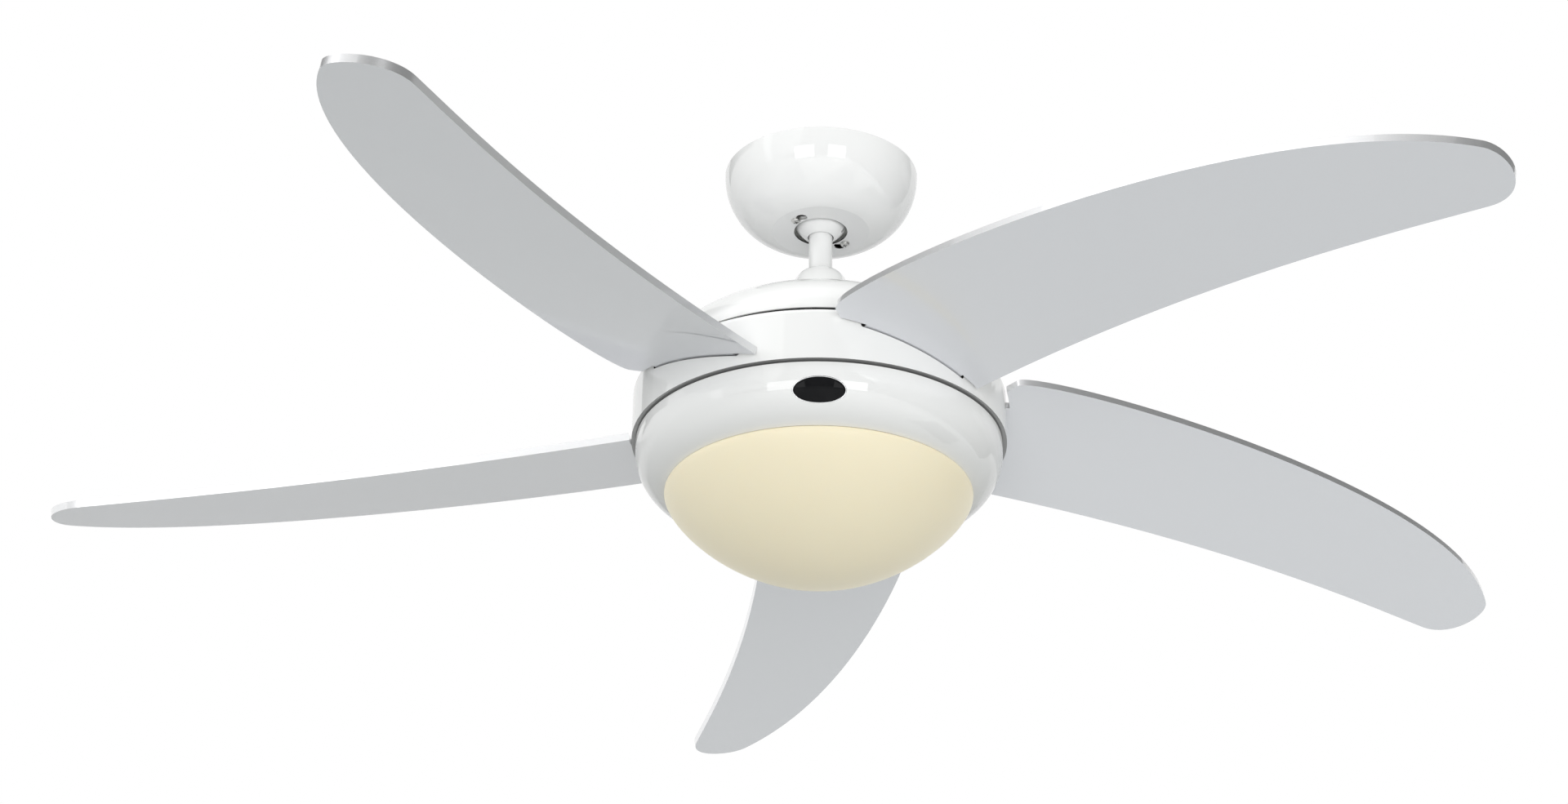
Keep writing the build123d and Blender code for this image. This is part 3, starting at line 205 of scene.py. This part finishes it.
enamelFacts = {
    "colour": (0.815, 0.819, 0.815), "shade": (0.795, 0.799, 0.795), "cloudScale": 6.0,
    "gloss": (0.32, 0.38), "coat": 1.0, "coatGloss": 0.01, "coatIor": 1.62,
    "peelScale": 60.0, "peelDepth": 0.00001,
}
opalFacts = {"bleed": (0.010, 0.007, 0.004), "bleedScale": 0.5}
finishes = {
    "white_gloss": enamelFinish({"name": "whiteEnamel", **enamelFacts}),
    "silver_lacquer": lacquerFinish({
        "name": "silverLacquer", "light": (0.775, 0.785, 0.82), "dark": (0.735, 0.745, 0.78),
        "edgeLight": (0.88, 0.885, 0.895), "edgeDark": (0.80, 0.805, 0.815), "faceFrom": (0.55, 0.8),
        "flakeScale": 2600.0, "flakeSpread": (0.25, 0.75), "cloudScale": 9.0,
        "gloss": (0.20, 0.25), "edgeGloss": 0.38, "metal": 0.32, "edgeMetal": 0.93,
        "coat": 1.0, "coatGloss": 0.02, "coatIor": 1.8,
    }),
    "opal_glass": opalFinish({
        **opalFacts, "name": "creamOpal", "colour": (0.645, 0.587, 0.44), "shade": (0.625, 0.567, 0.42),
        "cloudScale": 5.0, "gloss": (0.34, 0.42), "etchScale": 1500.0, "etchDepth": 0.00002, "depth": 0.25,
        # Painted glow on the cream opal bowl
        "glow": (1.0, 0.93, 0.69), "glowLevel": 0.22,
    }),
    "zinc_steel": metalFinish({
        "name": "zincPlate", "light": (0.66, 0.66, 0.64), "dark": (0.48, 0.48, 0.47),
        "grainScale": 240.0, "gloss": (0.28, 0.45), "grainDepth": 0.00003,
    }),
    "cast_metal": metalFinish({
        "name": "dieCasting", "light": (0.62, 0.63, 0.64), "dark": (0.50, 0.51, 0.52),
        "grainScale": 500.0, "gloss": (0.45, 0.6), "grainDepth": 0.00008,
    }),
    "core_steel": metalFinish({
        "name": "laminatedSteel", "light": (0.42, 0.42, 0.44), "dark": (0.20, 0.20, 0.21),
        "grainScale": 30.0, "gloss": (0.4, 0.55), "grainDepth": 0.0001, "stretch": (0.2, 0.2, 60.0),
    }),
    "copper": metalFinish({
        "name": "copperWire", "light": (0.80, 0.40, 0.20), "dark": (0.42, 0.17, 0.07),
        "grainScale": 40.0, "gloss": (0.25, 0.4), "grainDepth": 0.0002, "stretch": (1.0, 1.0, 24.0),
    }),
    "bearing_steel": metalFinish({
        "name": "groundSteel", "light": (0.74, 0.74, 0.75), "dark": (0.62, 0.62, 0.63),
        "grainScale": 300.0, "gloss": (0.12, 0.22), "grainDepth": 0.00001, "stretch": (1.0, 1.0, 8.0),
    }),
    "black_plastic": metalFinish({
        "name": "blackMoulding", "light": (0.050, 0.050, 0.052), "dark": (0.028, 0.028, 0.030),
        "grainScale": 700.0, "gloss": (0.38, 0.55), "grainDepth": 0.00005, "metal": 0.0,
    }),
    "cream_plastic": metalFinish({
        "name": "creamMoulding", "light": (0.80, 0.76, 0.66), "dark": (0.74, 0.70, 0.60),
        "grainScale": 600.0, "gloss": (0.35, 0.5), "grainDepth": 0.00004, "metal": 0.0,
    }),
    "lamp_glass": opalFinish({
        **opalFacts, "name": "lampOpal", "colour": (0.90, 0.90, 0.88), "shade": (0.86, 0.86, 0.84),
        "cloudScale": 12.0, "gloss": (0.2, 0.28), "etchScale": 900.0, "etchDepth": 0.00001, "depth": 0.1,
    }),
    "socket_ceramic": enamelFinish({
        "name": "socketGlaze", "colour": (0.88, 0.87, 0.82), "shade": (0.82, 0.81, 0.76),
        "cloudScale": 40.0, "gloss": (0.12, 0.2), "coat": 0.5, "coatGloss": 0.01, "coatIor": 1.5,
        "peelScale": 300.0, "peelDepth": 0.00004,
    }),
}

# Which way the faces of each spun piece look where it meets its neighbour (1 up, -1 down, 0 nowhere),
# and the grey of the painted shade laid on those faces
spunPieces = {
    "canopy": (1, 0.05), "top_cover": (0, 0.05), "rotor_shell": (-1, 0.28), "light_housing": (1, 0.05),
    "coupling_cover": (1, 0.05),
}
# Near-black painted shade on faces that look toward the axis, for the hollows inside the spun pieces
hollowShadeFacts = {"hollowShade": (0.05, 0.05, 0.05), "inward": (-0.25, -0.15), "flat": (0.985, 0.995)}

for row in frame["record"]["subparts"]:
    finish = finishes[row["material_slot"]]
    if row["node"] in spunPieces:
        way, shade = spunPieces[row["node"]]
        side = {**hollowShadeFacts, "joint": way, "jointShade": (shade, shade, shade)}
        finish = enamelFinish({**enamelFacts, **side, "name": row["node"] + "Enamel"})
    target = nodes[row["node"]]
    target.data.materials.clear()
    target.data.materials.append(finish)


def pieceFrom(mesh, name, body, finish):
    mesh.normal_update()
    data = bpy.data.meshes.new(name)
    mesh.to_mesh(data)
    mesh.free()
    piece = bpy.data.objects.new(name, data)
    scene.collection.objects.link(piece)
    data.materials.append(finish)
    for face in data.polygons:
        face.use_smooth = True
    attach(piece, body)
    return piece


# Blank oval plate on the front of the light housing, with a raised rim
plateFacts = {
    "bendCentre": 0.1142, "bendRadius": 0.03527, "bendLevel": -0.2654,
    "middleX": 0.0016, "middleTurn": 25.5, "halfWidth": 0.0212, "halfHeight": 0.0109,
    "rim": 0.0011, "rimHeight": 0.0009, "rimTop": (0.75, 0.25), "fieldHeight": 0.0005, "sunk": 0.0002,
    "segments": 64, "rings": 6, "fieldShare": 0.98, "weld": 0.00001,
}


def ontoHousing(facts, across, along, height):
    # across runs round the housing, along runs down its curved side, height stands off it
    turn = radians(facts["middleTurn"]) + along / facts["bendRadius"]
    angle = across / (facts["bendCentre"] + facts["bendRadius"] * cos(turn))
    bend = facts["bendRadius"] + height
    reach = facts["bendCentre"] + bend * cos(turn)
    return Vector((reach * sin(angle), -reach * cos(angle), facts["bendLevel"] - bend * sin(turn)))


def ovalRings(facts, profile):
    # profile is a list of (inset from the oval's edge, height), one for each ring
    mesh = bmesh.new()
    rings = []
    for inset, height in profile:
        turns = [2 * pi * step / facts["segments"] for step in range(facts["segments"])]
        wide = facts["halfWidth"] - inset
        tall = facts["halfHeight"] - inset
        places = [(facts["middleX"] + wide * cos(turn), tall * sin(turn)) for turn in turns]
        ring = [mesh.verts.new(ontoHousing(facts, across, along, height)) for across, along in places]
        rings.append([mesh.edges.new(pair) for pair in zip(ring, ring[1:] + ring[:1])])
    for first, second in zip(rings, rings[1:]):
        bmesh.ops.bridge_loops(mesh, edges=first + second)
    return mesh, rings


rim = plateFacts["rim"]
rimProfile = [
    (rim, plateFacts["fieldHeight"]),
    (rim * plateFacts["rimTop"][0], plateFacts["rimHeight"]),
    (rim * plateFacts["rimTop"][1], plateFacts["rimHeight"]),
    (0.0, plateFacts["fieldHeight"]),
    (0.0, -plateFacts["sunk"]),
    (rim, -plateFacts["sunk"]),
    (rim, plateFacts["fieldHeight"]),
]
rimMesh = ovalRings(plateFacts, rimProfile)[0]
bmesh.ops.remove_doubles(rimMesh, verts=rimMesh.verts[:], dist=plateFacts["weld"])
bmesh.ops.recalc_face_normals(rimMesh, faces=rimMesh.faces[:])
chromeRim = metalFinish({
    "name": "rimChrome", "light": (0.86, 0.86, 0.87), "dark": (0.80, 0.80, 0.81), "grainScale": 400.0,
    "gloss": (0.08, 0.16), "grainDepth": 0.00001,
})
pieceFrom(rimMesh, "badgeRim", "suspension", chromeRim)

middleInset = plateFacts["halfHeight"] * plateFacts["fieldShare"]
fieldProfile = [(rim, -plateFacts["sunk"])]
for step in range(plateFacts["rings"] + 1):
    inset = rim + (middleInset - rim) * step / plateFacts["rings"]
    fieldProfile.append((inset, plateFacts["fieldHeight"]))
fieldMesh, fieldRings = ovalRings(plateFacts, fieldProfile)
bmesh.ops.holes_fill(fieldMesh, edges=fieldRings[0] + fieldRings[-1])
bmesh.ops.recalc_face_normals(fieldMesh, faces=fieldMesh.faces[:])
blackField = enamelFinish({
    "name": "blackField", "colour": (0.012, 0.012, 0.013), "shade": (0.008, 0.008, 0.009),
    "cloudScale": 80.0, "gloss": (0.18, 0.26), "coat": 0.15, "coatGloss": 0.01, "coatIor": 1.5,
    "peelScale": 900.0, "peelDepth": 0.00001,
})
pieceFrom(fieldMesh, "badgePlate", "suspension", blackField)
print("plate set on the housing")

# Canopy screws with a cross recess, whose domed head is given as shares of its radius and its height
screwFacts = {
    "circle": 0.028, "angles": (43.0, 223.0), "level": -0.053, "headRadius": 0.0039, "headHeight": 0.0024,
    "headDome": ((0.0, 1.0), (0.55, 1.0), (0.82, 0.86), (0.96, 0.55), (1.0, 0.2), (1.0, 0.0)),
    "shankRadius": 0.00195, "shankLength": 0.008, "shankEdge": 0.0004,
    "slotLength": 0.0042, "slotWidth": 0.0009, "slotDepth": 0.0014, "slotTurn": 20.0,
    "segments": 40, "weld": 0.000001, "sharpFrom": 35.0,
}


def crossScrew(facts, angle):
    mesh = bmesh.new()
    outline = [(facts["headRadius"] * out, -facts["headHeight"] * down) for out, down in facts["headDome"]]
    outline += [
        (facts["shankRadius"], 0.0),
        (facts["shankRadius"], facts["shankLength"] - facts["shankEdge"]),
        (facts["shankRadius"] - facts["shankEdge"], facts["shankLength"]),
        (0.0, facts["shankLength"]),
    ]
    points = [mesh.verts.new((radius, 0.0, level)) for radius, level in outline]
    line = points + [mesh.edges.new(pair) for pair in zip(points, points[1:])]
    axis = {"cent": (0, 0, 0), "axis": (0, 0, 1), "angle": 2 * pi}
    bmesh.ops.spin(mesh, geom=line, steps=facts["segments"], use_merge=True, **axis)
    bmesh.ops.remove_doubles(mesh, verts=mesh.verts[:], dist=facts["weld"])
    bmesh.ops.recalc_face_normals(mesh, faces=mesh.faces[:])
    cutter = bmesh.new()
    for quarter in (0, 90):
        made = bmesh.ops.create_cube(cutter, size=1.0)
        bar = Matrix.Diagonal((facts["slotLength"], facts["slotWidth"], facts["slotDepth"] * 2, 1.0))
        turn = Matrix.Rotation(radians(quarter), 4, "Z")
        bmesh.ops.transform(cutter, matrix=turn @ bar, verts=made["verts"])
    bmesh.ops.translate(cutter, vec=(0, 0, -facts["headHeight"]), verts=cutter.verts[:])
    place = (facts["circle"] * cos(radians(angle)), facts["circle"] * sin(radians(angle)), facts["level"])
    spot = Matrix.Translation(place) @ Matrix.Rotation(radians(angle + facts["slotTurn"]), 4, "Z")
    for made in (mesh, cutter):
        bmesh.ops.transform(made, matrix=spot, verts=made.verts[:])
    return mesh, cutter


def cutAway(target, cutterMesh):
    data = bpy.data.meshes.new("cutter")
    cutterMesh.to_mesh(data)
    cutterMesh.free()
    cutter = bpy.data.objects.new("cutter", data)
    scene.collection.objects.link(cutter)
    tool = target.modifiers.new("recess", "BOOLEAN")
    tool.object = cutter
    tool.operation = "DIFFERENCE"
    tool.solver = "EXACT"
    tool.use_self = True
    bpy.context.view_layer.update()
    cut = target.evaluated_get(bpy.context.evaluated_depsgraph_get())
    result = bpy.data.meshes.new_from_object(cut)
    target.modifiers.clear()
    target.data = result
    bpy.data.objects.remove(cutter)


for number, angle in enumerate(screwFacts["angles"], 1):
    head, recess = crossScrew(screwFacts, angle)
    name = "canopyScrew" + str(number)
    screw = pieceFrom(head, name, "ceiling_mount", finishes["zinc_steel"])
    cutAway(screw, recess)
    screw.data.set_sharp_from_angle(angle=radians(screwFacts["sharpFrom"]))
    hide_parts("canopy_screws")
print("canopy screws made")


# The floor, and how bright the room is below the fan, level with it and above it
roomFacts = {
    "floorLevel": -2.5, "floorSize": 60.0, "floorRoughness": 0.8, "floorWear": 0.98, "floorClouds": 1.5,
    "floorLit": (0.27, 0.28, 0.272), "floorSeen": (0.97, 0.98, 0.975),
    "below": (0.41, 0.42, 0.412), "level": (0.40, 0.405, 0.40), "above": (0.97, 0.975, 0.97),
    "stops": (0.3, 0.5, 0.9),
}


def stageSheet(name, size, place, material):
    mesh = bmesh.new()
    bmesh.ops.create_grid(mesh, x_segments=2, y_segments=2, size=size / 2)
    bmesh.ops.translate(mesh, vec=place, verts=mesh.verts[:])
    data = bpy.data.meshes.new(name)
    mesh.to_mesh(data)
    mesh.free()
    sheet = bpy.data.objects.new(name, data)
    scene.collection.objects.link(sheet)
    data.materials.append(material)
    return sheet


def raysThatSee(tree):
    # 1 for what the camera, a gloss or a glass shows, 0 for what only lights
    rays = tree.nodes.new("ShaderNodeLightPath")
    seen = rays.outputs["Is Camera Ray"]
    for kind in ("Is Glossy Ray", "Is Transmission Ray"):
        either = tree.nodes.new("ShaderNodeMath")
        either.operation = "MAXIMUM"
        tree.links.new(seen, either.inputs[0])
        tree.links.new(rays.outputs[kind], either.inputs[1])
        seen = either.outputs["Value"]
    return seen


def floorPaint(facts):
    # Paler to the camera than to the light it throws back, and it keeps the shadow either way
    material, tree, shader = newMaterial("paleFloor")
    clouds = objectNoise(tree, facts["floorClouds"])
    seen = tree.nodes.new("ShaderNodeMix")
    seen.data_type = "RGBA"
    tree.links.new(raysThatSee(tree), seen.inputs["Factor"])
    for socket, paint in (("A", facts["floorLit"]), ("B", facts["floorSeen"])):
        worn = tuple(shade * facts["floorWear"] for shade in paint)
        tree.links.new(twoColours(tree, clouds, worn, paint), seen.inputs[socket])
    tree.links.new(seen.outputs["Result"], shader.inputs["Base Color"])
    shader.inputs["Roughness"].default_value = facts["floorRoughness"]
    return material


# Curtains and cards round the fan, which only its glossy surfaces show
clothScale = 40.0
curtainFacts = [
    {"name": "frontCurtain", "place": (0.0, -8.0, 2.0), "size": (26.0, 24.0), "turn": 0.0,
     "dark": (0.15, 0.15, 0.15), "pale": (0.19, 0.19, 0.19)},
    {"name": "rightCurtain", "place": (4.6, -1.5, 2.5), "size": (11.0, 12.0), "turn": 90.0,
     "dark": (0.24, 0.24, 0.24), "pale": (0.30, 0.30, 0.30)},
    {"name": "rightCard", "place": (4.4, 2.5, 1.2), "size": (2.4, 1.4), "turn": 90.0,
     "dark": (0.66, 0.66, 0.66), "pale": (0.72, 0.72, 0.72)},
    {"name": "leftCurtain", "place": (-4.6, 2.4, 5.2), "size": (5.5, 6.0), "turn": 90.0,
     "dark": (0.24, 0.24, 0.24), "pale": (0.30, 0.30, 0.30)},
    {"name": "backCard", "place": (-1.5, 9.0, -0.8), "size": (9.0, 1.5), "turn": 0.0,
     "dark": (0.74, 0.74, 0.74), "pale": (0.78, 0.78, 0.78)},
    {"name": "lowCard", "place": (2.4, 0.5, -2.4), "size": (1.6, 1.6), "turn": 0.0, "tilt": 0.0,
     "dark": (0.26, 0.26, 0.26), "pale": (0.30, 0.30, 0.30)},
]


def curtainCloth(facts):
    material, tree, shader = newMaterial(facts["name"] + "Cloth")
    weave = objectNoise(tree, clothScale)
    tree.links.new(twoColours(tree, weave, facts["dark"], facts["pale"]), shader.inputs["Base Color"])
    shader.inputs["Roughness"].default_value = 1.0
    return material


# A patch of ceiling that closes the canopy from above, and is seen from below only; its near-black colour
# is painted shade for the hollow inside the canopy
patchFacts = {"colour": (0.02, 0.02, 0.02), "roughness": 0.9, "margin": 0.001, "segments": 64}


def ceilingShadePaint(facts):
    material, tree, shader = newMaterial("ceilingShadePatch")
    # Near-black painted shade, seen past the hanger ball
    shader.inputs["Base Color"].default_value = (*facts["colour"], 1.0)
    shader.inputs["Roughness"].default_value = facts["roughness"]
    side = tree.nodes.new("ShaderNodeNewGeometry")
    clear = tree.nodes.new("ShaderNodeBsdfTransparent")
    mix = tree.nodes.new("ShaderNodeMixShader")
    tree.links.new(side.outputs["Backfacing"], mix.inputs["Fac"])
    tree.links.new(shader.outputs["BSDF"], mix.inputs[1])
    tree.links.new(clear.outputs["BSDF"], mix.inputs[2])
    tree.links.new(mix.outputs["Shader"], tree.nodes["Material Output"].inputs["Surface"])
    return material


floor = stageSheet("floor", roomFacts["floorSize"], (0, 0, roomFacts["floorLevel"]), floorPaint(roomFacts))
floor.visible_shadow = False

for facts in curtainFacts:
    curtain = stageSheet(facts["name"], 1.0, (0, 0, 0), curtainCloth(facts))
    spread = Matrix.Diagonal((*facts["size"], 1.0, 1.0))
    upright = Matrix.Rotation(radians(facts.get("tilt", 90.0)), 4, "X")
    turn = Matrix.Rotation(radians(facts["turn"]), 4, "Z") @ upright
    curtain.data.transform(Matrix.Translation(facts["place"]) @ turn @ spread)
    curtain.visible_camera = False
    curtain.visible_diffuse = False
    curtain.visible_transmission = False
    curtain.visible_shadow = False

patchMesh = bmesh.new()
patchRadius = nodes["canopy"].dimensions.x / 2 - patchFacts["margin"]
bmesh.ops.create_circle(patchMesh, cap_ends=True, segments=patchFacts["segments"], radius=patchRadius)
bmesh.ops.reverse_faces(patchMesh, faces=patchMesh.faces[:])
patchData = bpy.data.meshes.new("ceilingShadePatch")
patchMesh.to_mesh(patchData)
patchMesh.free()
patch = bpy.data.objects.new("ceilingShadePatch", patchData)
scene.collection.objects.link(patch)
patchData.materials.append(ceilingShadePaint(patchFacts))
print("floor, curtains and ceiling patch set")


def studioWorld(facts):
    # Soft light that is dimmer from below and from the sides, in a surround that is seen as white
    world = bpy.data.worlds.new("studio")
    world.use_nodes = True
    tree = world.node_tree
    tree.nodes.clear()
    direction = tree.nodes.new("ShaderNodeTexCoord")
    split = tree.nodes.new("ShaderNodeSeparateXYZ")
    tree.links.new(direction.outputs["Generated"], split.inputs["Vector"])
    shades = tree.nodes.new("ShaderNodeValToRGB")
    low, middle, high = facts["stops"]
    shades.color_ramp.elements[0].position = low
    shades.color_ramp.elements[0].color = (*facts["below"], 1.0)
    shades.color_ramp.elements[1].position = high
    shades.color_ramp.elements[1].color = (*facts["above"], 1.0)
    shades.color_ramp.elements.new(middle).color = (*facts["level"], 1.0)
    tree.links.new(between(tree, split.outputs["Z"], 0.0, 1.0, -1.0, 1.0), shades.inputs["Fac"])
    glow = tree.nodes.new("ShaderNodeBackground")
    tree.links.new(shades.outputs["Color"], glow.inputs["Color"])
    white = tree.nodes.new("ShaderNodeBackground")
    white.inputs["Color"].default_value = (1.0, 1.0, 1.0, 1.0)
    choose = tree.nodes.new("ShaderNodeMixShader")
    tree.links.new(raysThatSee(tree), choose.inputs["Fac"])
    tree.links.new(glow.outputs["Background"], choose.inputs[1])
    tree.links.new(white.outputs["Background"], choose.inputs[2])
    out = tree.nodes.new("ShaderNodeOutputWorld")
    tree.links.new(choose.outputs["Shader"], out.inputs["Surface"])
    return world


scene.world = studioWorld(roomFacts)

# A lamp that only lights leaves no glint on the gloss, and one that only glints lights nothing
fanMiddle = (0.0, 0.0, -0.1)
lampFacts = {
    "softboxLeft": {
        "place": (-2.06, -6.0, -1.0), "size": (2.5, 2.3), "watts": 50.0, "glint": True, "lights": True,
    },
    "softboxRight": {
        "place": (2.06, -6.0, -1.0), "size": (2.2, 2.3), "watts": 46.0, "glint": True, "lights": True,
    },
    "rightFill": {
        "place": (4.0, -1.8, -1.0), "size": (2.0, 2.0), "watts": 27.0, "glint": False, "lights": True,
    },
    "leftFill": {
        "place": (-4.2, -1.0, 1.3), "size": (2.0, 2.0), "watts": 36.0, "glint": False, "lights": True,
    },
    "leftWindow": {
        "place": (-2.6, -2.6, 1.5), "size": (3.2, 5.0), "watts": 36.0, "glint": True, "lights": False,
    },
    "overhead": {
        "place": (-1.3, -1.65, 3.0), "size": (4.6, 3.9), "watts": 30.0, "glint": True, "lights": False,
        "aim": (-1.3, -1.65, 0.0),
    },
}
for name, facts in lampFacts.items():
    light = bpy.data.lights.new(name, "AREA")
    light.shape = "RECTANGLE"
    light.size, light.size_y = facts["size"]
    light.energy = facts["watts"]
    lamp = bpy.data.objects.new(name, light)
    scene.collection.objects.link(lamp)
    lamp.location = facts["place"]
    aim = Vector(facts.get("aim", fanMiddle)) - lamp.location
    lamp.rotation_euler = aim.to_track_quat("-Z", "Y").to_euler()
    lamp.visible_camera = False
    lamp.visible_glossy = facts["glint"]
    lamp.visible_diffuse = facts["lights"]

# Wide, even light from the front, a little from below, that doesn't fall off along the blades
frontFacts = {"from": (0.03, -0.91, -0.41), "spread": 50.0, "level": 1.65}
frontLight = bpy.data.lights.new("frontLight", "SUN")
frontLight.energy = frontFacts["level"]
frontLight.angle = radians(frontFacts["spread"])
front = bpy.data.objects.new("frontLight", frontLight)
scene.collection.objects.link(front)
front.rotation_euler = (-Vector(frontFacts["from"])).to_track_quat("-Z", "Y").to_euler()
front.visible_camera = False
front.visible_glossy = False

cameraFacts = {
    "place": (0.02478, -2.15322, -1.33641), "yaw": -1.433, "pitch": 27.489, "roll": 0.817, "lens": 67.80,
    "sensor": 36.0,
}
yaw, pitch, roll = (radians(cameraFacts[key]) for key in ("yaw", "pitch", "roll"))
ahead = Vector((sin(yaw) * cos(pitch), cos(yaw) * cos(pitch), sin(pitch)))
level = Vector((cos(yaw), -sin(yaw), 0.0))
above = level.cross(ahead)
right = level * cos(roll) + above * sin(roll)
up = above * cos(roll) - level * sin(roll)
cameraData = bpy.data.cameras.new("camera")
cameraData.sensor_width = cameraFacts["sensor"]
cameraData.sensor_fit = "HORIZONTAL"
cameraData.lens = cameraFacts["lens"]
camera = bpy.data.objects.new("camera", cameraData)
scene.collection.objects.link(camera)
turn = Matrix((right, up, -ahead)).transposed().to_4x4()
camera.matrix_world = Matrix.Translation(cameraFacts["place"]) @ turn
scene.camera = camera
scene.view_settings.view_transform = "Standard"
print("camera and light set")
